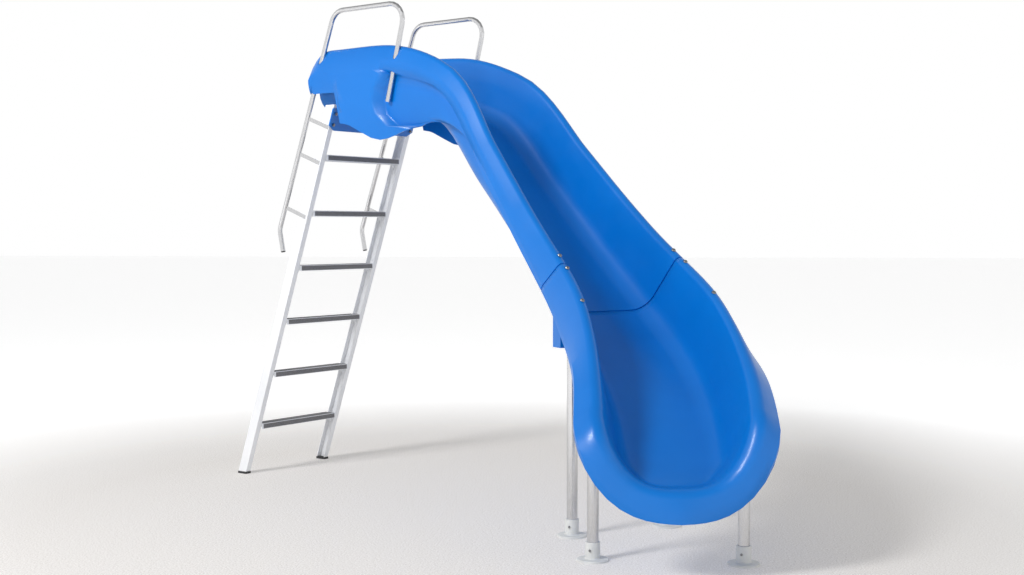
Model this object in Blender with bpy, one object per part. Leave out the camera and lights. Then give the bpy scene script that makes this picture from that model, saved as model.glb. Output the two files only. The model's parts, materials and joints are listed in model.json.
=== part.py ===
# Pool slide: a moulded right-turn flume in two lapped and bolted sections, a six-tread
# ladder with a pair of bent tube handrails, and four tube legs standing in deck flanges.
# Metres, +Z up, deck surface at z = 0. The origin is on the deck, midway between the two
# exit legs; the rider leaves the flume along -Y.
import math

import bmesh
import bpy
import numpy as np
from mathutils import Matrix, Vector
from mathutils.bvhtree import BVHTree

for old in list(bpy.data.objects):
    bpy.data.objects.remove(old, do_unlink=True)

# ---------------------------------------------------------------- driving dimensions
GAP = 0.0003                 # clearance kept between touching pieces
SKIN = 0.007                 # moulded wall thickness

HEAD0 = math.radians(-30.0)  # plan heading of the platform
HEAD_X, HEAD_Y = -1.556, 1.741   # ladder head, plan
REAR = -0.175                # rear end of the platform pods, run from the ladder head
JOINT = 1.640                # section joint
NOSE = 2.500                 # centre of the rounded exit, run from the ladder head
NOSE_LONG = 0.215            # from there to the lip's inner edge
LIP_H = 0.010                # rise of the floor into the lip
LIP_ROLL = 0.050
LIP_OUT = 0.030
LIP_DROP = 0.078
LAP = 0.050                  # lower section lapped under the upper one

# design stations along the run: (run, value)
TURN = ((0.2, -30), (0.5, -31.5), (0.9, -42), (1.3, -48), (1.7, -55), (2.1, -69),
        (2.5, -83), (2.75, -90))
FLOOR = ((0.0, 1.985), (0.3, 1.975), (0.6, 1.895), (0.95, 1.56), (1.3, 1.245),
         (1.65, 0.975), (2.0, 0.745), (2.3, 0.555), (2.5, 0.43), (2.65, 0.362), (2.76, 0.345))
HALF = ((0.3, 0.268), (0.9, 0.276), (1.4, 0.278), (1.9, 0.290), (2.3, 0.287), (2.65, 0.275))
WALL_LEFT = ((0.0, 0.275), (0.3, 0.275), (0.9, 0.255), (1.4, 0.265), (1.9, 0.295),
             (2.3, 0.262), (2.65, 0.215))
WALL_RIGHT = ((0.0, 0.275), (0.3, 0.285), (0.9, 0.268), (1.4, 0.246), (1.9, 0.268),
              (2.3, 0.235), (2.65, 0.200))
BAND_DROP = ((0.3, 0.105), (1.1, 0.068), (1.9, 0.112), (2.35, 0.045), (2.7, 0.045))
BAND_OUT = ((0.3, 0.036), (1.5, 0.038), (2.6, 0.056))
LEAN = ((0.4, 3.0), (1.1, 8.0), (1.9, 10.0), (2.6, 20.0))
ROLL = ((2.0, 0.026), (2.6, 0.045))
CORNER_R = 0.095             # floor-to-wall fillet

SKIRT_Z = 1.803              # lowest edge of the platform skirt
SKIRT_REAR_Z = 2.060         # raised edge over the ladder rails
BOOT_FRONT = 0.28            # front of the wide platform skirt, halfway down
BOOT_STEP = 0.048            # how far the boot stands outside the flume side

RISER = 0.2921               # ladder tread spacing
TILT = math.radians(71.0)    # ladder angle
LADDER_W = 0.647             # over the rail webs
WEB = 0.057
FLANGE = 0.032
RAIL_T = 0.0032
RAIL_TOP = 2.000
TREAD_1 = 0.2535             # underside of the first tread
TREAD_DEEP = 0.076
TREAD_TALL = 0.030
TREADS = 6

HAND_R = 0.0127              # handrail tube radius
HAND_BACK = 0.180            # tube axis behind the rails' front faces
HAND_TOP = 2.480
HAND_LOOP = 0.488
HAND_BEND = 0.085
HAND_LOW = 1.235

LEG_R = 0.02415              # 1.9 in tube
LEG_X = 0.305                # exit legs each side of the centreline
MID_RUN = 1.80               # mid legs, run from the ladder head
MID_OFF = 0.245              # mid legs each side of the centreline
SLEEVE_R = 0.0305
SLEEVE_H = 0.078
DISC_R = 0.066
DISC_T = 0.009


# ---------------------------------------------------------------- small helpers
def smooth_curve(table, x):
    """Shape-preserving cubic through (run, value) stations, level outside them."""
    xs = [p[0] for p in table]
    ys = [p[1] for p in table]
    if x <= xs[0]:
        return ys[0]
    if x >= xs[-1]:
        return ys[-1]
    n = len(xs)
    h = [xs[i + 1] - xs[i] for i in range(n - 1)]
    d = [(ys[i + 1] - ys[i]) / h[i] for i in range(n - 1)]
    m = [0.0] * n
    for i in range(1, n - 1):
        if d[i - 1] * d[i] > 0:
            w1 = 2 * h[i] + h[i - 1]
            w2 = h[i] + 2 * h[i - 1]
            m[i] = (w1 + w2) / (w1 / d[i - 1] + w2 / d[i])
    i = max(k for k in range(n - 1) if xs[k] <= x)
    t = (x - xs[i]) / h[i]
    a = 2 * t ** 3 - 3 * t ** 2 + 1
    b = t ** 3 - 2 * t ** 2 + t
    c = 3 * t ** 2 - 2 * t ** 3
    e = t ** 3 - t ** 2
    return a * ys[i] + b * h[i] * m[i] + c * ys[i + 1] + e * h[i] * m[i + 1]


def ease(x, a, b):
    t = min(max((x - a) / (b - a), 0.0), 1.0)
    return t * t * (3 - 2 * t)


def mix(a, b, t):
    return a + (b - a) * t


# ---------------------------------------------------------------- flume path
STEP = 0.01
_path = []
_x, _y = HEAD_X, HEAD_Y
for _k in range(int(3.0 / STEP) + 1):
    _h = math.radians(smooth_curve(TURN, _k * STEP))
    _path.append((_x, _y, _h))
    _x += math.cos(_h) * STEP
    _y += math.sin(_h) * STEP


def plan(s):
    if s <= 0:
        return (HEAD_X + math.cos(HEAD0) * s, HEAD_Y + math.sin(HEAD0) * s), HEAD0
    k = min(int(s / STEP), len(_path) - 2)
    t = s / STEP - k
    a, b = _path[k], _path[k + 1]
    return (mix(a[0], b[0], t), mix(a[1], b[1], t)), mix(a[2], b[2], t)


def floor_z(s):
    return smooth_curve(FLOOR, s)


def frame_at(s):
    """Floor point, rider's-left direction and up direction of the section plane at run s."""
    (x, y), head = plan(s)
    ang = math.atan2(floor_z(s - 0.03) - floor_z(s + 0.03), 0.06)
    left = (-math.sin(head), math.cos(head), 0.0)
    up = (math.cos(head) * math.sin(ang), math.sin(head) * math.sin(ang), math.cos(ang))
    return (x, y, floor_z(s)), left, up


def place(s, lateral, height):
    o, left, up = frame_at(s)
    return tuple(o[i] + left[i] * lateral + up[i] * height for i in range(3))


# ---------------------------------------------------------------- flume cross-section
FLOOR_N, ARC_N, ROLL_N, SKIRT_N = 3, 5, 6, 6


def half_profile(w, h, lean, roll, out, drop, rc):
    """Floor centre to free edge: floor, fillet, wall, rolled rim, sloping band."""
    foot = w - h * math.tan(lean)
    cx = foot - rc * math.tan((math.pi / 2 - lean) / 2)
    pts = [(cx * k / FLOOR_N, 0.0) for k in range(FLOOR_N)]
    for k in range(ARC_N + 1):
        a = (math.pi / 2 - lean) * k / ARC_N
        pts.append((cx + rc * math.sin(a), rc * (1 - math.cos(a))))
    ax, az = pts[-1]
    pts.append((mix(ax, w, 0.5), mix(az, h, 0.5)))
    ox = w + roll * math.cos(lean)
    oz = h - roll * math.sin(lean)
    a0 = math.pi - lean
    a1 = math.atan2(out, drop)
    for k in range(ROLL_N + 1):
        a = mix(a0, a1, k / ROLL_N)
        pts.append((ox + roll * math.cos(a), oz + roll * math.sin(a)))
    bx, bz = pts[-1]
    pts.append((bx + out * 0.5, bz - drop * 0.5))
    pts.append((bx + out, bz - drop))
    return pts


def dims_at(s, side):
    w = smooth_curve(HALF, s)
    h = smooth_curve(WALL_LEFT if side > 0 else WALL_RIGHT, s)
    h *= 1 - 0.42 * (1 - math.sqrt(max(1 - ease(-s, 0.03, -REAR + 0.03) ** 2, 0.0)))
    lean = math.radians(smooth_curve(LEAN, s))
    drop = smooth_curve(BAND_DROP, s) * (1 - 0.35 * ease(-s, 0.0, -REAR))
    return w, h, lean, smooth_curve(ROLL, s), smooth_curve(BAND_OUT, s), drop, CORNER_R


def section(s, side=1):
    """Half section at run s, centre to free edge, as (lateral, height) pairs."""
    return half_profile(*dims_at(s, side))


def skirt_point(s, k, side, rows):
    """Point k of the side wall hanging below the band, with the boot's C-shaped front."""
    first = mix(0.075, 0.20, ease(s, 0.60, 1.0))
    z = mix(first, 1.0, (k - 1) / max(rows - 1, 1))
    z = 1.0 if rows == 1 else z
    if z < 0.45:
        shift = 0.08 * ((0.45 - z) / 0.45) ** 2
    else:
        shift = 0.28 * ((z - 0.45) / 0.55) ** 2.2
    shift *= ease(s, -0.10, BOOT_FRONT) * (1 - ease(s, BOOT_FRONT + 0.05, 1.0))
    t = s + shift
    cx, cz = section(t, side)[-1]
    low = floor_z(t) + cz
    bottom = mix(SKIRT_REAR_Z, mix(1.90, SKIRT_Z, ease(t, 0.03, 0.33)), ease(t, 0.020, 0.032))
    deep = mix(max(low - bottom, 0.030), 0.030, ease(t, 0.36, 1.08))
    ramp = min(max((s - BOOT_FRONT) / 0.022, 0.0), 1.0)
    inset = ramp * (1 - ease(s, 0.75, 1.1))
    tuck = 0.018 * z ** 2 * (1 - ease(s, 0.3, 0.7))
    return place(t, side * (cx - BOOT_STEP * inset - tuck), cz - deep * z)


def station(s, rows):
    """One line of surface points, rider's-left edge to rider's-right edge."""
    halves = []
    for side in (1, -1):
        row = [place(s, side * a, b) for a, b in section(s, side)]
        for k in range(1, rows + 1):
            row.append(skirt_point(s, k, side, rows))
        halves.append(row)
    return halves[0][::-1] + halves[1][1:]


# ---- BUILD ----
# ---------------------------------------------------------------- scene helpers
PAINT = {}


def material(name, rgb, rough, metal):
    m = bpy.data.materials.new(name)
    m.use_nodes = True
    b = m.node_tree.nodes["Principled BSDF"]
    b.inputs["Base Color"].default_value = (rgb[0], rgb[1], rgb[2], 1.0)
    b.inputs["Roughness"].default_value = rough
    b.inputs["Metallic"].default_value = metal
    m.diffuse_color = (rgb[0], rgb[1], rgb[2], 1.0)
    return m


KINDS = {
    "flume": ((0.010, 0.165, 0.62), 0.28, 0.0),
    "powder": ((0.80, 0.81, 0.82), 0.45, 0.0),
    "steel": ((0.66, 0.67, 0.68), 0.25, 1.0),
    "foot": ((0.74, 0.75, 0.75), 0.50, 0.0),
    "bolt": ((0.50, 0.51, 0.53), 0.30, 1.0),
    "cap": ((0.10, 0.10, 0.11), 0.60, 0.0),
    "grip": ((0.20, 0.20, 0.21), 0.85, 0.0),
}


def emit(name, bm, kind, smooth=0.0):
    bmesh.ops.recalc_face_normals(bm, faces=bm.faces)
    me = bpy.data.meshes.new(name)
    bm.to_mesh(me)
    bm.free()
    ob = bpy.data.objects.new(name, me)
    bpy.context.collection.objects.link(ob)
    rgb, rough, metal = KINDS[kind]
    me.materials.append(material(kind + "_" + name, rgb, rough, metal))
    if smooth > 0:
        for p in me.polygons:
            p.use_smooth = True
        for e in me.edges:
            e.use_edge_sharp = False
        sharpen(me, smooth)
    return ob


def sharpen(me, angle):
    """Mark edges whose faces meet at more than the given angle as sharp."""
    bm = bmesh.new()
    bm.from_mesh(me)
    for e in bm.edges:
        if len(e.link_faces) == 2 and e.calc_face_angle(0.0) > angle:
            e.smooth = False
    bm.to_mesh(me)
    bm.free()


def boolean(ob, tools, mode, own=False):
    """Apply exact booleans one by one with the given tool objects, then remove the tools."""
    for t in tools:
        mod = ob.modifiers.new(mode, "BOOLEAN")
        mod.operation = mode
        mod.solver = "EXACT"
        mod.object = t
        mod.use_self = own
        deps = bpy.context.evaluated_depsgraph_get()
        deps.update()
        me = bpy.data.meshes.new_from_object(ob.evaluated_get(deps))
        mat = ob.data.materials[0]
        ob.modifiers.clear()
        ob.data = me
        me.materials.clear()
        me.materials.append(mat)
        for p in me.polygons:
            p.material_index = 0
        bpy.data.objects.remove(t, do_unlink=True)
    return ob


def keep_main_body(ob):
    """Weld coincident points and keep only the largest connected body."""
    bm = bmesh.new()
    bm.from_mesh(ob.data)
    bmesh.ops.remove_doubles(bm, verts=bm.verts, dist=0.00005)
    bmesh.ops.dissolve_degenerate(bm, edges=bm.edges, dist=0.00005)
    left = set(bm.verts)
    bodies = []
    while left:
        seed = left.pop()
        body, todo = {seed}, [seed]
        while todo:
            for e in todo.pop().link_edges:
                for v in e.verts:
                    if v in left:
                        left.discard(v)
                        body.add(v)
                        todo.append(v)
        bodies.append(body)
    bodies.sort(key=len)
    for body in bodies[:-1]:
        bmesh.ops.delete(bm, geom=list(body), context="VERTS")
    bm.to_mesh(ob.data)
    bm.free()


def axis_matrix(z_dir, x_hint=(1, 0, 0)):
    z = Vector(z_dir).normalized()
    x = Vector(x_hint)
    x = (x - z * x.dot(z)).normalized()
    y = z.cross(x)
    return Matrix((x, y, z)).transposed()


def lathe(profile, centre, axis=(0, 0, 1), n=24):
    """Closed solid of revolution from (radius, height) points along an axis."""
    bm = bmesh.new()
    m = axis_matrix(axis, (1, 0, 0) if abs(axis[0]) < 0.9 else (0, 1, 0))
    c = Vector(centre)
    rings = []
    for r, h in profile:
        if r <= 1e-9:
            rings.append([bm.verts.new(c + m @ Vector((0, 0, h)))])
            continue
        ring = []
        for k in range(n):
            a = 2 * math.pi * k / n
            ring.append(bm.verts.new(c + m @ Vector((r * math.cos(a), r * math.sin(a), h))))
        rings.append(ring)
    closed = len(rings[0]) > 1
    pairs = list(zip(rings, rings[1:]))
    if closed:
        pairs.append((rings[-1], rings[0]))
    for a, b in pairs:
        for k in range(n):
            q = (k + 1) % n
            if len(a) == 1 and len(b) == 1:
                continue
            if len(a) == 1:
                bm.faces.new((a[0], b[k], b[q]))
            elif len(b) == 1:
                bm.faces.new((a[k], a[q], b[0]))
            else:
                bm.faces.new((a[k], a[q], b[q], b[k]))
    return bm


def rod(a, b, r, n=24):
    d = Vector(b) - Vector(a)
    return lathe([(0, 0), (r, 0), (r, d.length), (0, d.length)], a, tuple(d), n)


def prism(outline, origin, xdir, ydir, depth):
    """Extrude a closed 2-D outline (in xdir, ydir) by a depth vector."""
    bm = bmesh.new()
    o, x, y, d = Vector(origin), Vector(xdir), Vector(ydir), Vector(depth)
    a = [bm.verts.new(o + x * p + y * q) for p, q in outline]
    b = [bm.verts.new(o + x * p + y * q + d) for p, q in outline]
    bm.faces.new(a[::-1])
    bm.faces.new(b)
    n = len(a)
    for k in range(n):
        bm.faces.new((a[k], a[(k + 1) % n], b[(k + 1) % n], b[k]))
    return bm


def tube_path(points, r, n=12, wall=0.0):
    """Round bar or tube swept along a polyline, ends closed."""
    pts = [Vector(p) for p in points]
    bm = bmesh.new()
    tang = []
    for i in range(len(pts)):
        a = pts[max(i - 1, 0)]
        b = pts[min(i + 1, len(pts) - 1)]
        tang.append((b - a).normalized())
    x = axis_matrix(tang[0], (0.3, 0.8, 0.1)).col[0]
    frames = []
    for t in tang:
        x = (x - t * x.dot(t)).normalized()
        frames.append((x, t.cross(x)))
    shells = []
    for rad in ([r, r - wall] if wall > 0 else [r]):
        rings = []
        for p, (u, v) in zip(pts, frames):
            ring = []
            for k in range(n):
                a = 2 * math.pi * k / n
                ring.append(bm.verts.new(p + u * (rad * math.cos(a)) + v * (rad * math.sin(a))))
            rings.append(ring)
        for a, b in zip(rings, rings[1:]):
            for k in range(n):
                bm.faces.new((a[k], a[(k + 1) % n], b[(k + 1) % n], b[k]))
        shells.append(rings)
    for end in (0, -1):
        if wall > 0:
            a, b = shells[0][end], shells[1][end]
            for k in range(n):
                bm.faces.new((a[k], a[(k + 1) % n], b[(k + 1) % n], b[k]))
        else:
            bm.faces.new(shells[0][end])
    return bm


def fillet_path(corners, radius, n=6):
    """Polyline through corners with arcs of the given radius."""
    out = [Vector(corners[0])]
    for i in range(1, len(corners) - 1):
        p, a, b = Vector(corners[i]), Vector(corners[i - 1]), Vector(corners[i + 1])
        u, v = (a - p).normalized(), (b - p).normalized()
        ang = u.angle(v)
        d = radius / math.tan(ang / 2)
        c = p + (u + v).normalized() * (radius / math.sin(ang / 2))
        s0, s1 = p + u * d, p + v * d
        for k in range(n + 1):
            t = k / n
            out.append(c + (s0 - c).slerp(s1 - c, t).normalized() * radius)
    out.append(Vector(corners[-1]))
    return out


# ---------------------------------------------------------------- flume shells
def lay_grid(bm, lines):
    rows = [[bm.verts.new(p) for p in line] for line in lines]
    for a, b in zip(rows, rows[1:]):
        for j in range(len(a) - 1):
            bm.faces.new((a[j], a[j + 1], b[j + 1], b[j]))
    return rows


def thicken(bm, skin=SKIN):
    """Turn an open surface facing up into a closed shell, grown downwards."""
    bm.normal_update()
    faces = list(bm.faces)
    lift = {}
    for v in list(bm.verts):
        lift[v] = bm.verts.new(v.co - v.normal * skin)
    rim = [e for e in bm.edges if len(e.link_faces) == 1]
    for f in faces:
        bm.faces.new([lift[v] for v in reversed(f.verts)])
    for e in rim:
        a, b = e.verts
        bm.faces.new((a, b, lift[b], lift[a]))
    return bm


def spread(a, b, n):
    return [mix(a, b, k / n) for k in range(n)]


upper_runs = spread(REAR, -0.03, 6) + spread(-0.03, 0.018, 2) + spread(0.018, 0.034, 2)
upper_runs += spread(0.034, BOOT_FRONT, 7) + [BOOT_FRONT, BOOT_FRONT + 0.022]
upper_runs += spread(BOOT_FRONT + 0.045, 0.50, 5) + spread(0.50, 1.05, 12)
upper_runs += spread(1.05, JOINT, 11) + [JOINT]
UP_ROWS, LOW_ROWS = 6, 1

bm = bmesh.new()
lay_grid(bm, [station(s, UP_ROWS) for s in upper_runs])
upper = emit("upper_flume", thicken(bm), "flume", 0.9)

# lower section: tucked under the upper one over the lap, flush beyond it
lap = []
for s in (JOINT - LAP, JOINT - LAP / 2, JOINT + 0.0008):
    g = np.array([station(s - 0.01, LOW_ROWS), station(s, LOW_ROWS), station(s + 0.01, LOW_ROWS)])
    nrm = np.cross(np.gradient(g, axis=1)[1], np.gradient(g, axis=0)[1])
    nrm /= np.linalg.norm(nrm, axis=1, keepdims=True)
    if nrm[len(nrm) // 2, 2] < 0:
        nrm = -nrm
    lap.append([tuple(p) for p in g[1] - nrm * (SKIN + 2 * GAP)])
lower_runs = [JOINT + 0.006] + spread(JOINT + 0.03, NOSE, 26) + [NOSE]
bm = bmesh.new()
rows = lay_grid(bm, lap + [station(s, LOW_ROWS) for s in lower_runs])

# rounded exit: the half section turns about the exit centre, from one side to the other
FAN = 22
(nx, ny), head = plan(NOSE)
ahead = Vector((math.cos(head), math.sin(head), 0.0))
_, left_dir, up_side = frame_at(NOSE)
left_dir, up_side = Vector(left_dir), Vector(up_side)
last = rows[-1]
mid = len(last) // 2
spokes = [list(reversed(last[:mid + 1]))]
for k in range(1, FAN):
    phi = math.pi / 2 - math.pi * k / FAN
    side = 1 if phi >= 0 else -1
    w0, h0, lean0, roll0, out0, drop0, rc0 = dims_at(NOSE, side)
    sn, cs = abs(math.sin(phi)), math.cos(phi)
    reach = ((sn / w0) ** 2.5 + (cs / NOSE_LONG) ** 2.5) ** (-1 / 2.5)
    e = min(reach * sn / w0, 1.0)
    t = e ** 3.0 * sn ** 0.5
    prof = half_profile(reach, mix(LIP_H, h0, t), mix(math.radians(78), lean0, t ** 0.6),
                        mix(LIP_ROLL, roll0, t), mix(LIP_OUT, out0, t),
                        mix(LIP_DROP, drop0, t), mix(0.05, rc0, t))
    prof.append((prof[-1][0], prof[-1][1] - mix(0.012, 0.030, t)))
    way = left_dir * (math.sin(phi)) + ahead * cs
    up = (up_side * sn + Vector((0, 0, 1)) * (1 - sn)).normalized()
    spoke = [last[mid]]
    for a, b in prof[1:]:
        z = floor_z(NOSE + a * cs)
        p = Vector((nx, ny, z)) + way * a + up * b
        spoke.append(bm.verts.new(p))
    spokes.append(spoke)
spokes.append(last[mid:])
for a, b in zip(spokes, spokes[1:]):
    bm.faces.new((a[0], a[1], b[1]))
    for j in range(1, len(a) - 1):
        bm.faces.new((a[j], a[j + 1], b[j + 1], b[j]))
bmesh.ops.recalc_face_normals(bm, faces=bm.faces)
if sum(f.normal.z * f.calc_area() for f in bm.faces) < 0:
    bmesh.ops.reverse_faces(bm, faces=bm.faces)
lower = emit("lower_flume", thicken(bm), "flume", 0.9)


# ---------------------------------------------------------------- ladder placement
D0 = Vector((math.cos(HEAD0), math.sin(HEAD0), 0.0))
SIDE = Vector((-D0.y, D0.x, 0.0))                # rider's left
UP = Vector((0.0, 0.0, 1.0))
CLIMB = (D0 * math.cos(TILT) + UP * math.sin(TILT)).normalized()
FACE = (D0 * math.sin(TILT) - UP * math.cos(TILT)).normalized()   # out of the rails' fronts
HEAD_Z = 2.045                                   # rail fronts meet the head line here
HEAD = Vector((HEAD_X, HEAD_Y, 0.0))


def rail_run(z):
    """Run of the rails' front faces at height z."""
    return (z - HEAD_Z) / math.tan(TILT)


def on_platform(run, lateral, z):
    return HEAD + D0 * run + SIDE * lateral + UP * z


# apron under the seat that the ladder bolts to, and closed backs of the two pods
APRON_T = 0.008
APRON_LOW = 1.870
APRON_TOP = 1.9815
lo_run = rail_run(APRON_LOW) + GAP * 2
tall = (APRON_TOP - APRON_LOW) / math.sin(TILT)
half = 0.330
bm = prism([(-half, 0.025), (-half + 0.04, 0.0), (half - 0.04, 0.0), (half, 0.025),
            (half, tall), (-half, tall)], on_platform(lo_run, 0, APRON_LOW), SIDE, CLIMB,
           FACE * APRON_T)
apron = emit("apron_tool", bm, "flume")
tools = [apron]
back = REAR + 0.011
for side in (1, -1):
    prof = half_profile(*dims_at(back, side))
    bottom = SKIRT_REAR_Z + 0.012
    base = floor_z(back)
    ring = [(a + SKIN * 0.5, b + base) for a, b in prof if b + base > bottom]
    top_k = max(range(len(ring)), key=lambda k: ring[k][1])
    ring = [(a - (SKIN if k > top_k else 0.0), b - SKIN * 0.5 * (1 - abs(k - top_k) / len(ring)))
            for k, (a, b) in enumerate(ring)]
    ring = [(ring[0][0], bottom)] + ring + [(ring[-1][0], bottom)]
    bm = prism([(side * a, b) for a, b in ring], on_platform(back - 0.0035, 0, 0), SIDE, UP,
               D0 * 0.007)
    tools.append(emit("pod_tool_%d" % side, bm, "flume"))
boolean(upper, tools, "UNION")

# ---------------------------------------------------------------- handrails
HAND_OUT = LADDER_W / 2


def hand_corners(side):
    low_z = HAND_LOW + 0.115
    low = on_platform(rail_run(low_z) - 0.183, side * HAND_OUT, low_z)
    end = on_platform(rail_run(low_z) - 0.158, side * HAND_OUT, HAND_LOW)
    a_run = rail_run(HAND_TOP) - 0.160
    a = on_platform(a_run, side * HAND_OUT, HAND_TOP)
    b = on_platform(a_run + HAND_LOOP, side * HAND_OUT, HAND_TOP + 0.003)
    drop = 0.485
    c = on_platform(a_run + HAND_LOOP - drop * 0.258, side * HAND_OUT, HAND_TOP - drop)
    return end, low, a, b, c


cutters = []
for side, word in ((1, "left"), (-1, "right")):
    end, low, a, b, c = hand_corners(side)
    path = [end, low, a, b, c]
    pts = fillet_path(path, HAND_BEND, 6)
    emit("handrail_" + word, tube_path(pts, HAND_R, 14, 0.0022), "steel", 0.8)
    way = (end - low).normalized()
    emit("handrail_plug_" + word, lathe([(0, 0), (HAND_R, 0), (HAND_R * 0.85, 0.004), (0, 0.005)],
                                        end + way * GAP, tuple(way), 14), "cap", 0.6)
    for p, q in ((low, a), (c, b)):
        d = (q - p).normalized()
        tool = rod(p + d * 0.3 if p is low else p - d * 0.02, p + d * (q - p).length * 0.93,
                   HAND_R + 0.0015, 18)
        cutters.append(emit("hand_hole_%s_%d" % (word, len(cutters)), tool, "flume"))
boolean(upper, cutters, "DIFFERENCE")
keep_main_body(upper)
sharpen(upper.data, 0.9)

# ---------------------------------------------------------------- ladder
run0 = rail_run(0.012)
length = (RAIL_TOP - 0.012) / math.sin(TILT)
deep = WEB / math.sin(TILT)
t_deep = RAIL_T / math.sin(TILT)
for side, word in ((1, "left"), (-1, "right")):
    o = LADDER_W / 2
    ring = [(o, 0), (o, -deep), (o - FLANGE, -deep), (o - FLANGE, -deep + t_deep),
            (o - RAIL_T, -deep + t_deep), (o - RAIL_T, -t_deep), (o - FLANGE, -t_deep),
            (o - FLANGE, 0)]
    ring = [(a * side, b) for a, b in ring]
    emit("ladder_rail_" + word, prism(ring, on_platform(run0, 0, 0.012), SIDE, D0,
                                      CLIMB * length), "powder")
    pad = [(o + 0.0015, 0.002), (o + 0.0015, -deep - 0.002), (o - FLANGE - 0.0015, -deep - 0.002),
           (o - FLANGE - 0.0015, 0.002)]
    emit("ladder_foot_" + word, prism([(a * side, b) for a, b in pad],
                                      on_platform(run0, 0, 0.0), SIDE, D0,
                                      UP * (0.012 - GAP)), "cap")

lip = LADDER_W / 2 - FLANGE - GAP
for k in range(TREADS):
    z = TREAD_1 + RISER * k
    mid_run = rail_run(z + TREAD_TALL / 2) - deep / 2
    h, w, t = TREAD_TALL, TREAD_DEEP / 2, 0.003
    ring = [(-w, 0), (-w, h), (w, h), (w, 0), (w - t, 0), (w - t, h - t), (-w + t, h - t),
            (-w + t, 0)]
    emit("tread_%d" % (k + 1), prism(ring, on_platform(mid_run, -lip, z), D0, UP,
                                     SIDE * (2 * lip)), "powder")

# handrail brackets: flat bars from the tube to the outer face of the rail web
BAR_T, BAR_W = 0.004, 0.020
n = 0
for side, word in ((1, "left"), (-1, "right")):
    end, low, a, b, c = hand_corners(side)
    for k, z in enumerate((1.472, 1.755, 1.938)):
        t = (z - low.z) / (a.z - low.z)
        tube = low.lerp(a, t)
        way = (a - low).normalized()
        out = SIDE * side
        fwd = way.cross(out)
        fwd = fwd if fwd.dot(D0) > 0 else -fwd
        reach = rail_run(z) * 0 + HAND_BACK - 0.022
        ring = [(HAND_R + GAP, -BAR_W / 2), (reach, -BAR_W / 2), (reach, BAR_W / 2),
                (HAND_R + GAP, BAR_W / 2)]
        emit("handrail_bracket_%s_%d" % (word, k + 1),
             prism(ring, tube + out * (GAP * 1.5), fwd, way, out * BAR_T), "powder")

# ladder bolts through the rails' front flanges and the apron
for side, word in ((1, "left"), (-1, "right")):
    for k, z in enumerate((1.900, 1.955)):
        lat = side * (LADDER_W / 2 - FLANGE * 0.55)
        p = on_platform(rail_run(z), lat, z) + FACE * (APRON_T + GAP * 3 + 0.0003)
        emit("ladder_nut_%s_%d" % (word, k + 1),
             lathe([(0, 0), (0.0085, 0), (0.0085, 0.007), (0.004, 0.007), (0.004, 0.011),
                    (0, 0.011)], p, tuple(FACE), 6), "bolt")

# ---------------------------------------------------------------- legs, sockets and feet
tree = BVHTree.FromPolygons([v.co.copy() for v in lower.data.vertices],
                            [tuple(p.vertices) for p in lower.data.polygons])


def under(x, y, low=0.02):
    """Height of the flume's underside above a point."""
    hit = tree.ray_cast(Vector((x, y, low)), UP)
    return hit[0].z if hit[0] else None


def circle(x, y, r, n):
    return [(x + r * math.cos(2 * math.pi * k / n), y + r * math.sin(2 * math.pi * k / n))
            for k in range(n)]


(mx, my), mid_head = plan(MID_RUN)
MID_WAY = Vector((math.cos(mid_head), math.sin(mid_head), 0.0))
MID_SIDE = Vector((-MID_WAY.y, MID_WAY.x, 0.0))
EXIT_WAY, EXIT_SIDE = Vector((0, -1, 0)), Vector((1, 0, 0))
LEGS = (
    ("mid_left", Vector((mx, my, 0)) + MID_SIDE * MID_OFF, MID_WAY, MID_SIDE, 0.838),
    ("mid_right", Vector((mx, my, 0)) - MID_SIDE * MID_OFF, MID_WAY, -MID_SIDE, 0.838),
    ("exit_left", Vector((LEG_X, 0, 0)), EXIT_WAY, EXIT_SIDE, 0.560),
    ("exit_right", Vector((-LEG_X, 0, 0)), EXIT_WAY, -EXIT_SIDE, 0.560),
)
POD_IN, POD_OUT, POD_FORE = 0.034, 0.080, 0.040
LEG_IN = 0.055               # depth of a leg in its socket
pods, bores = [], []
for word, at, way, out, low in LEGS:
    reach_out = POD_OUT if word.startswith("mid") else 0.040
    reach_in = POD_IN
    nu, nv = 9, 6
    tops, bots = [], []
    bm = bmesh.new()
    for i in range(nu + 1):
        ta, ba = [], []
        for j in range(nv + 1):
            p = at + out * mix(-reach_in, reach_out, i / nu) + way * mix(-0.032, POD_FORE, j / nv)
            z = under(p.x, p.y)
            while z is None:
                p = at + (p - at) * 0.96
                z = under(p.x, p.y)
            z = min(z, low + 0.220)
            ta.append(bm.verts.new((p.x, p.y, z + SKIN * 0.50)))
            ba.append(bm.verts.new((p.x, p.y, low)))
        tops.append(ta)
        bots.append(ba)
    for i in range(nu):
        for j in range(nv):
            bm.faces.new((tops[i][j], tops[i + 1][j], tops[i + 1][j + 1], tops[i][j + 1]))
            bm.faces.new((bots[i][j], bots[i][j + 1], bots[i + 1][j + 1], bots[i + 1][j]))
    for i in range(nu):
        for j in (0, nv):
            bm.faces.new((tops[i][j], tops[i + 1][j], bots[i + 1][j], bots[i][j]))
    for j in range(nv):
        for i in (0, nu):
            bm.faces.new((tops[i][j], tops[i][j + 1], bots[i][j + 1], bots[i][j]))
    pods.append(emit("pod_" + word, bm, "flume"))
    foot = at + UP * (low + LEG_IN + GAP)
    bores.append(emit("bore_" + word, rod(at + UP * (low - 0.05), foot, LEG_R + GAP, 24), "flume"))
boolean(lower, pods, "UNION", True)
boolean(lower, bores, "DIFFERENCE")
keep_main_body(lower)
sharpen(lower.data, 0.9)

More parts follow.
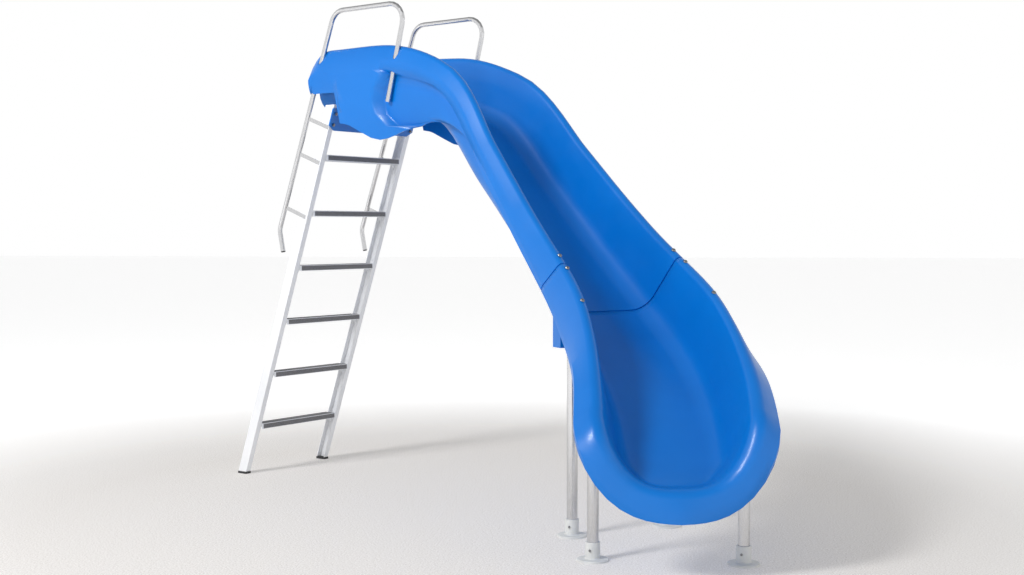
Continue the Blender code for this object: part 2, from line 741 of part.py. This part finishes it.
for word, at, way, out, low in LEGS:
    top = low + LEG_IN
    ring = [(LEG_R, 0.0036), (LEG_R, top), (LEG_R - 0.0025, top), (LEG_R - 0.0025, 0.0036)]
    emit("leg_" + word, lathe(ring, at, (0, 0, 1), 24), "steel", 0.8)
    prof = [(0, 0), (DISC_R, 0), (DISC_R, 0.006), (DISC_R - 0.003, DISC_T),
            (SLEEVE_R + 0.004, DISC_T + 0.001), (SLEEVE_R, DISC_T + 0.005), (SLEEVE_R, SLEEVE_H),
            (LEG_R + GAP, SLEEVE_H), (LEG_R + GAP, 0.0033), (0, 0.0033)]
    emit("foot_" + word, lathe(prof, at, (0, 0, 1), 32), "foot", 0.7)
    side = Vector((-0.35, -1.0, 0.0)).normalized()
    screw = [(0, 0), (0.0055, 0), (0.0055, 0.003), (0.004, 0.0045), (0, 0.0045)]
    emit("set_screw_" + word, lathe(screw, at + side * (SLEEVE_R + GAP) + UP * 0.046,
                                    tuple(side), 8), "bolt")

# ---------------------------------------------------------------- rim bolts
RIM_BOLTS = (("joint_upper", JOINT - 0.045), ("joint_lower", JOINT + 0.040),
             ("support", MID_RUN + 0.10))
for word, run in RIM_BOLTS:
    for side, hand in ((1, "left"), (-1, "right")):
        w, h, lean, roll, out, drop, rc = dims_at(run, side)
        a, b = half_profile(w, h, lean, roll, out, drop, rc)[FLOOR_N + ARC_N + 2 + 3]
        ox, oz = w + roll * math.cos(lean), h - roll * math.sin(lean)
        o, left, up = frame_at(run)
        nrm = (Vector(left) * side * (a - ox) + Vector(up) * (b - oz)).normalized()
        seat = Vector(place(run, side * a, b)) + nrm * 0.0020
        head = [(0, 0), (0.0105, 0), (0.0105, 0.0015), (0.0085, 0.0050), (0.0045, 0.0072),
                (0, 0.0078)]
        emit("rim_bolt_%s_%s" % (word, hand), lathe(head, seat, tuple(nrm), 12), "bolt", 0.7)

# ---------------------------------------------------------------- origin under the middle
MIDDLE = Vector((-0.972, 1.012, 0.0))            # footprint centre, deck level
for ob in bpy.data.objects:
    for v in ob.data.vertices:
        v.co -= MIDDLE
    ob.data.update()
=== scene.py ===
"""Looks of the pool slide: glossy moulded flume, powder-coated ladder, stainless rails and legs."""
import json
import math

import bmesh
import bpy
from mathutils import Matrix, Vector


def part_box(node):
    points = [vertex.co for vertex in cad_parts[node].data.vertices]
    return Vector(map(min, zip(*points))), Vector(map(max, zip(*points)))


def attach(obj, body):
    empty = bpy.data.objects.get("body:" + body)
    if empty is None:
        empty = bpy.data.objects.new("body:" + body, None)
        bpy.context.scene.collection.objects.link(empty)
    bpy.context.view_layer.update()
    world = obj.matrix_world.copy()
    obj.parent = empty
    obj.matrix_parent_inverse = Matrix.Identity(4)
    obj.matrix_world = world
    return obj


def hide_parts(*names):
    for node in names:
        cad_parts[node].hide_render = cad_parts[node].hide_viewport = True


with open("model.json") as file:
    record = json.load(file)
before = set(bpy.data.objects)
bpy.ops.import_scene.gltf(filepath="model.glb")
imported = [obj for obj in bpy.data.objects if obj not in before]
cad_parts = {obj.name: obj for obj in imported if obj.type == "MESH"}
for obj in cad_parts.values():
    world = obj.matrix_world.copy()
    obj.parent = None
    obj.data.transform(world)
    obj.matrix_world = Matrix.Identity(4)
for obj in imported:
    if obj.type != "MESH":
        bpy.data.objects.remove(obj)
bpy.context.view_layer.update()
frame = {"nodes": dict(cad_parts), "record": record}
NODES = frame["nodes"]
BODY = "root"

# ---------------------------------------------------------------- sizes and places
HEADING = math.radians(-30.0)        # the ladder faces this way, seen from above
ALONG = Vector((math.cos(HEADING), math.sin(HEADING), 0.0))
ACROSS = Vector((-ALONG.y, ALONG.x, 0.0))
UP = Vector((0.0, 0.0, 1.0))
TREAD_LONG = 0.5825
TREAD_DEEP = 0.076
GRIP_LONG, GRIP_DEEP, GRIP_THICK = 0.560, 0.066, 0.0009
SHADE_NOSE_TALL = 0.024                    # dark grit strip turned down over the tread's front and back, painted shade
GUSSET = 0.026
GUSSET_THICK = 0.004
GUSSET_INSET = 0.001                 # kept back from the end of the tread
CLEAR = 0.0003                       # small gap kept under the treads
WELD = 0.00002                       # corners closer than this are one corner
SHARP = math.radians(35)             # edges steeper than this stay crisp
FLUME_SHARP = math.radians(40)
DECK_HALF = 60.0
CAMERA_AT = Vector((0.9763, -6.6888, 1.3552))
CAMERA_PITCH, CAMERA_TURN = math.radians(87.604), math.radians(6.45)
CAMERA_LENS = 49.22
FRAME_WIDE = 36.0                    # width of the camera's film, in millimetres

# Each lamp: place, the point it is aimed at, width and power.
KEY = (Vector((-4.5, -6.0, 6.5)), Vector((0.0, 0.0, 1.2)), 2.2, 520.0)
FILL = (Vector((6.0, -4.0, 3.5)), Vector((0.2, -0.2, 1.0)), 5.0, 15.0)

# The sky is full white up to the first height and fades to its least by the second.
SKY_FADE = (0.30, 0.80)
SKY_LIGHT = (1.0, 0.30)
SKY_COLOUR = (1.0, 1.0, 1.0, 1.0)


# ---------------------------------------------------------------- materials
class Nodes:
    """Short calls for building one material's node tree."""

    def __init__(self, name):
        self.mat = bpy.data.materials.new(name)
        self.mat.use_nodes = True
        self.tree = self.mat.node_tree
        self.bsdf = self.tree.nodes["Principled BSDF"]
        self.where = self.add("ShaderNodeTexCoord").outputs["Object"]

    def add(self, kind, **settings):
        node = self.tree.nodes.new(kind)
        for key, value in settings.items():
            setattr(node, key, value)
        return node

    def link(self, a, b):
        self.tree.links.new(a, b)

    def stretched(self, scale):
        node = self.add("ShaderNodeMapping")
        node.inputs["Scale"].default_value = scale
        self.link(self.where, node.inputs["Vector"])
        return node.outputs["Vector"]

    def noise(self, scale, detail=3.0, rough=0.55, where=None):
        node = self.add("ShaderNodeTexNoise")
        node.inputs["Scale"].default_value = scale
        node.inputs["Detail"].default_value = detail
        node.inputs["Roughness"].default_value = rough
        self.link(where or self.where, node.inputs["Vector"])
        return node.outputs["Fac"]

    def ramp(self, value, stops):
        node = self.add("ShaderNodeValToRGB")
        ends = node.color_ramp.elements
        for k, (at, colour) in enumerate(stops):
            if k < 2:
                stop = ends[k]
                stop.position = at
            else:
                stop = ends.new(at)
            stop.color = (*colour, 1.0)
        self.link(value, node.inputs["Fac"])
        return node.outputs["Color"]

    def ranged(self, value, low, high, lo_in=0.3, hi_in=0.7):
        node = self.add("ShaderNodeMapRange")
        for key, v in (("From Min", lo_in), ("From Max", hi_in), ("To Min", low), ("To Max", high)):
            node.inputs[key].default_value = v
        self.link(value, node.inputs["Value"])
        return node.outputs["Result"]

    def bump(self, height, strength, distance, before=None):
        node = self.add("ShaderNodeBump")
        node.inputs["Strength"].default_value = strength
        node.inputs["Distance"].default_value = distance
        self.link(height, node.inputs["Height"])
        if before:
            self.link(before, node.inputs["Normal"])
        self.link(node.outputs["Normal"], self.bsdf.inputs["Normal"])
        return node.outputs["Normal"]

    def uniform(self, **values):
        for key, value in values.items():
            self.bsdf.inputs[key.replace("_", " ")].default_value = value


def moulded_blue():
    """The flume: glossy blue with a faint orange-peel surface and slow colour drift."""
    m = Nodes("moulded_blue")
    cloud = m.noise(1.6, 4.0)
    m.link(m.ramp(cloud, [(0.30, (0.0, 0.140, 0.520)), (0.72, (0.0, 0.172, 0.610))]),
           m.bsdf.inputs["Base Color"])
    smear = m.noise(7.0, 5.0, 0.6)
    m.link(m.ranged(smear, 0.28, 0.40), m.bsdf.inputs["Roughness"])
    peel = m.bump(m.noise(120.0, 2.0), 0.05, 0.0012)
    m.bump(m.noise(9.0, 2.0), 0.10, 0.004, peel)
    m.uniform(Coat_Weight=0.10, Coat_Roughness=0.12, IOR=1.40)
    return m.mat


def powder_white():
    """The ladder: fine powder coat."""
    m = Nodes("powder_white")
    m.link(m.ramp(m.noise(3.0, 4.0), [(0.3, (0.74, 0.755, 0.78)), (0.7, (0.83, 0.84, 0.86))]),
           m.bsdf.inputs["Base Color"])
    m.link(m.ranged(m.noise(24.0, 4.0), 0.34, 0.48), m.bsdf.inputs["Roughness"])
    m.bump(m.noise(900.0, 2.0), 0.16, 0.0006)
    m.uniform(IOR=1.5)
    return m.mat


def grit_and_shade():
    """The tape on the treads, coarse and dark; the same dark tape on the tread fronts and backs is
    painted shade.
    """
    m = Nodes("grit_and_shade")
    fine = m.noise(1400.0, 3.0, 0.7)
    m.link(m.ramp(fine, [(0.38, (0.10, 0.10, 0.105)), (0.66, (0.26, 0.26, 0.27))]),
           m.bsdf.inputs["Base Color"])
    m.link(m.ranged(fine, 0.95, 0.7), m.bsdf.inputs["Roughness"])
    m.bump(fine, 0.9, 0.0012)
    return m.mat


def stainless():
    """Rails and legs: bright metal with a faint upright grain."""
    m = Nodes("stainless")
    grain = m.noise(60.0, 4.0, 0.6, m.stretched((14.0, 14.0, 0.6)))
    m.link(m.ramp(grain, [(0.3, (0.56, 0.56, 0.57)), (0.7, (0.70, 0.70, 0.71))]),
           m.bsdf.inputs["Base Color"])
    m.link(m.ranged(grain, 0.16, 0.30), m.bsdf.inputs["Roughness"])
    m.bump(grain, 0.04, 0.0004)
    m.uniform(Metallic=1.0)
    return m.mat


def plain_steel():
    """Bolts and screws: duller grey."""
    m = Nodes("plain_steel")
    spot = m.noise(300.0, 3.0)
    m.link(m.ramp(spot, [(0.3, (0.20, 0.20, 0.205)), (0.7, (0.34, 0.34, 0.345))]),
           m.bsdf.inputs["Base Color"])
    m.link(m.ranged(spot, 0.28, 0.45), m.bsdf.inputs["Roughness"])
    m.uniform(Metallic=1.0)
    return m.mat


def pale_plastic():
    """The feet of the legs."""
    m = Nodes("pale_plastic")
    m.link(m.ramp(m.noise(14.0, 4.0), [(0.3, (0.60, 0.61, 0.60)), (0.7, (0.70, 0.71, 0.70))]),
           m.bsdf.inputs["Base Color"])
    m.link(m.ranged(m.noise(60.0, 3.0), 0.40, 0.55), m.bsdf.inputs["Roughness"])
    m.bump(m.noise(700.0, 2.0), 0.10, 0.0005)
    return m.mat


def black_rubber():
    """Ladder feet and the plugs in the tube ends."""
    m = Nodes("black_rubber")
    spot = m.noise(160.0, 4.0)
    m.link(m.ramp(spot, [(0.3, (0.012, 0.012, 0.013)), (0.7, (0.035, 0.035, 0.037))]),
           m.bsdf.inputs["Base Color"])
    m.link(m.ranged(spot, 0.60, 0.80), m.bsdf.inputs["Roughness"])
    m.bump(spot, 0.2, 0.0006)
    return m.mat


def pale_ground():
    """Pale rough deck that fades to white further out, and glows all over as painted light, more
    strongly further out.
    """
    m = Nodes("pale_ground")
    fine = m.noise(130.0, 6.0, 0.8)
    sand = m.ramp(fine, [(0.34, (0.52, 0.49, 0.46)), (0.64, (0.90, 0.88, 0.86))])
    rings = m.add("ShaderNodeTexGradient", gradient_type="SPHERICAL")
    m.link(m.stretched((0.22, 0.22, 0.22)), rings.inputs["Vector"])
    fade_and_glow = m.ranged(rings.outputs["Fac"], 0.0, 1.0, 0.0, 0.55)
    blend = m.add("ShaderNodeMix", data_type="RGBA")
    blend.inputs["A"].default_value = (0.95, 0.95, 0.95, 1.0)
    m.link(fade_and_glow, blend.inputs["Factor"])
    m.link(sand, blend.inputs["B"])
    m.link(blend.outputs["Result"], m.bsdf.inputs["Base Color"])
    # painted light: the deck's colour is also its emission, so the deck glows, more strongly
    # further out
    m.link(blend.outputs["Result"], m.bsdf.inputs["Emission Color"])
    m.link(m.ranged(fade_and_glow, 0.46, 0.20, 0.0, 0.8), m.bsdf.inputs["Emission Strength"])
    m.bump(fine, 0.5, 0.006)
    m.uniform(Roughness=0.9)
    return m.mat


BLUE, WHITE, GRIT_AND_SHADE, STEEL = moulded_blue(), powder_white(), grit_and_shade(), stainless()
BOLT, PALE, BLACK = plain_steel(), pale_plastic(), black_rubber()
BY_SLOT = {"blue_shell": BLUE, "white_powder_coat": WHITE, "stainless_tube": STEEL,
           "pale_foot": PALE, "ladder_foot_rubber": BLACK, "tube_plug": BLACK, "fastener": BOLT}
SLOT_OF = {p["node"]: p["material_slot"] for p in frame["record"]["subparts"]}


# ---------------------------------------------------------------- shapes
def dress(ob, material):
    """One material on the whole piece."""
    ob.data.materials.clear()
    ob.data.materials.append(material)
    for face in ob.data.polygons:
        face.material_index = 0


def emit(name, bm, material, sharp=SHARP):
    """A finished piece from a bmesh, riding on the slide's one body."""
    bmesh.ops.recalc_face_normals(bm, faces=bm.faces)
    mesh = bpy.data.meshes.new(name)
    bm.to_mesh(mesh)
    bm.free()
    for face in mesh.polygons:
        face.use_smooth = True
    mesh.set_sharp_from_angle(angle=sharp)
    ob = bpy.data.objects.new(name, mesh)
    bpy.context.scene.collection.objects.link(ob)
    dress(ob, material)
    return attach(ob, BODY)


def slab(bm, centre, long, deep, thick):
    """A flat bar lying across the ladder."""
    turn = Matrix((ALONG, ACROSS, UP)).transposed().to_4x4()
    size = Matrix.Diagonal((deep, long, thick, 1.0))
    bmesh.ops.create_cube(bm, size=1.0, matrix=Matrix.Translation(centre) @ turn @ size)


def prism(bm, corners, way):
    """A flat shape given thickness along a direction."""
    low = [bm.verts.new(c) for c in corners]
    high = [bm.verts.new(c + way) for c in corners]
    n = len(corners)
    bm.faces.new(low[::-1])
    bm.faces.new(high)
    for k in range(n):
        bm.faces.new((low[k], low[(k + 1) % n], high[(k + 1) % n], high[k]))


# ---------------------------------------------------------------- flume
def smooth_flume(name):
    """The moulded section, welded and shaded smooth."""
    source = NODES[name]
    bm = bmesh.new()
    bm.from_mesh(source.data)
    bmesh.ops.remove_doubles(bm, verts=bm.verts, dist=WELD)
    bmesh.ops.join_triangles(bm, faces=bm.faces, cmp_seam=False, cmp_sharp=False, cmp_uvs=False,
                             cmp_vcols=False, cmp_materials=False, angle_face_threshold=0.6,
                             angle_shape_threshold=1.2)
    ob = emit("moulded_" + name, bm, BLUE, FLUME_SHARP)
    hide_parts(name)


for name, node in NODES.items():
    dress(node, BY_SLOT[SLOT_OF[name]])
smooth_flume("upper_flume")
smooth_flume("lower_flume")

# ---------------------------------------------------------------- treads: grip tape, painted shade on the tread fronts and backs, and end gussets
for name in sorted(n for n in NODES if n.startswith("tread_")):
    low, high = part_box(name)
    middle = (low + high) / 2
    top = Vector((middle.x, middle.y, high.z))
    bm = bmesh.new()
    slab(bm, top + UP * GRIP_THICK / 2, GRIP_LONG, GRIP_DEEP, GRIP_THICK)
    # painted shade: dark strips over the tread's front and back faces, where shade falls; only the
    # top strip is real grip tape
    nose = ALONG * (-TREAD_DEEP / 2 - GRIP_THICK / 2)
    slab(bm, middle + nose, GRIP_LONG, GRIP_THICK, SHADE_NOSE_TALL)
    slab(bm, middle - nose, GRIP_LONG, GRIP_THICK, SHADE_NOSE_TALL)
    emit("grip_and_shade_" + name, bm, GRIT_AND_SHADE)
    bm = bmesh.new()
    for side in (1, -1):
        end = Vector((middle.x, middle.y, low.z)) - UP * CLEAR
        end += ACROSS * side * (TREAD_LONG / 2 - GUSSET_INSET)
        inner = end - ACROSS * side * GUSSET
        back = ALONG * (GUSSET_THICK / 2)
        prism(bm, [p - back for p in (end, inner, end - UP * GUSSET)], back * 2)
    emit("gusset_" + name, bm, WHITE)

# ---------------------------------------------------------------- stage, light and camera
bm = bmesh.new()
bmesh.ops.create_grid(bm, x_segments=1, y_segments=1, size=DECK_HALF)
mesh = bpy.data.meshes.new("deck")
bm.to_mesh(mesh)
bm.free()
deck = bpy.data.objects.new("deck", mesh)
bpy.context.scene.collection.objects.link(deck)
mesh.materials.append(pale_ground())


def area(name, at, towards, size, power):
    """A round soft light aimed at a point."""
    lamp = bpy.data.lights.new(name, "AREA")
    lamp.shape = "DISK"
    lamp.size = size
    lamp.energy = power
    ob = bpy.data.objects.new(name, lamp)
    bpy.context.scene.collection.objects.link(ob)
    ob.location = at
    ob.rotation_euler = (towards - at).to_track_quat("-Z", "Y").to_euler()


area("key", *KEY)
area("fill", *FILL)

bpy.context.scene.view_settings.view_transform = "Standard"
world = bpy.data.worlds.new("studio")
bpy.context.scene.world = world
world.use_nodes = True
sky = world.node_tree
direction = sky.nodes.new("ShaderNodeTexCoord").outputs["Generated"]
split = sky.nodes.new("ShaderNodeSeparateXYZ")
sky.links.new(direction, split.inputs["Vector"])
height = sky.nodes.new("ShaderNodeMapRange")
for key, value in zip(("From Min", "From Max", "To Min", "To Max"), SKY_FADE + SKY_LIGHT):
    height.inputs[key].default_value = value
sky.links.new(split.outputs["Z"], height.inputs["Value"])
sky.links.new(height.outputs["Result"], sky.nodes["Background"].inputs["Strength"])
sky.nodes["Background"].inputs["Color"].default_value = SKY_COLOUR

lens = bpy.data.cameras.new("camera")
lens.sensor_width = FRAME_WIDE
lens.lens = CAMERA_LENS
camera = bpy.data.objects.new("camera", lens)
bpy.context.scene.collection.objects.link(camera)
camera.location = CAMERA_AT
camera.rotation_euler = (CAMERA_PITCH, 0.0, CAMERA_TURN)
bpy.context.scene.camera = camera
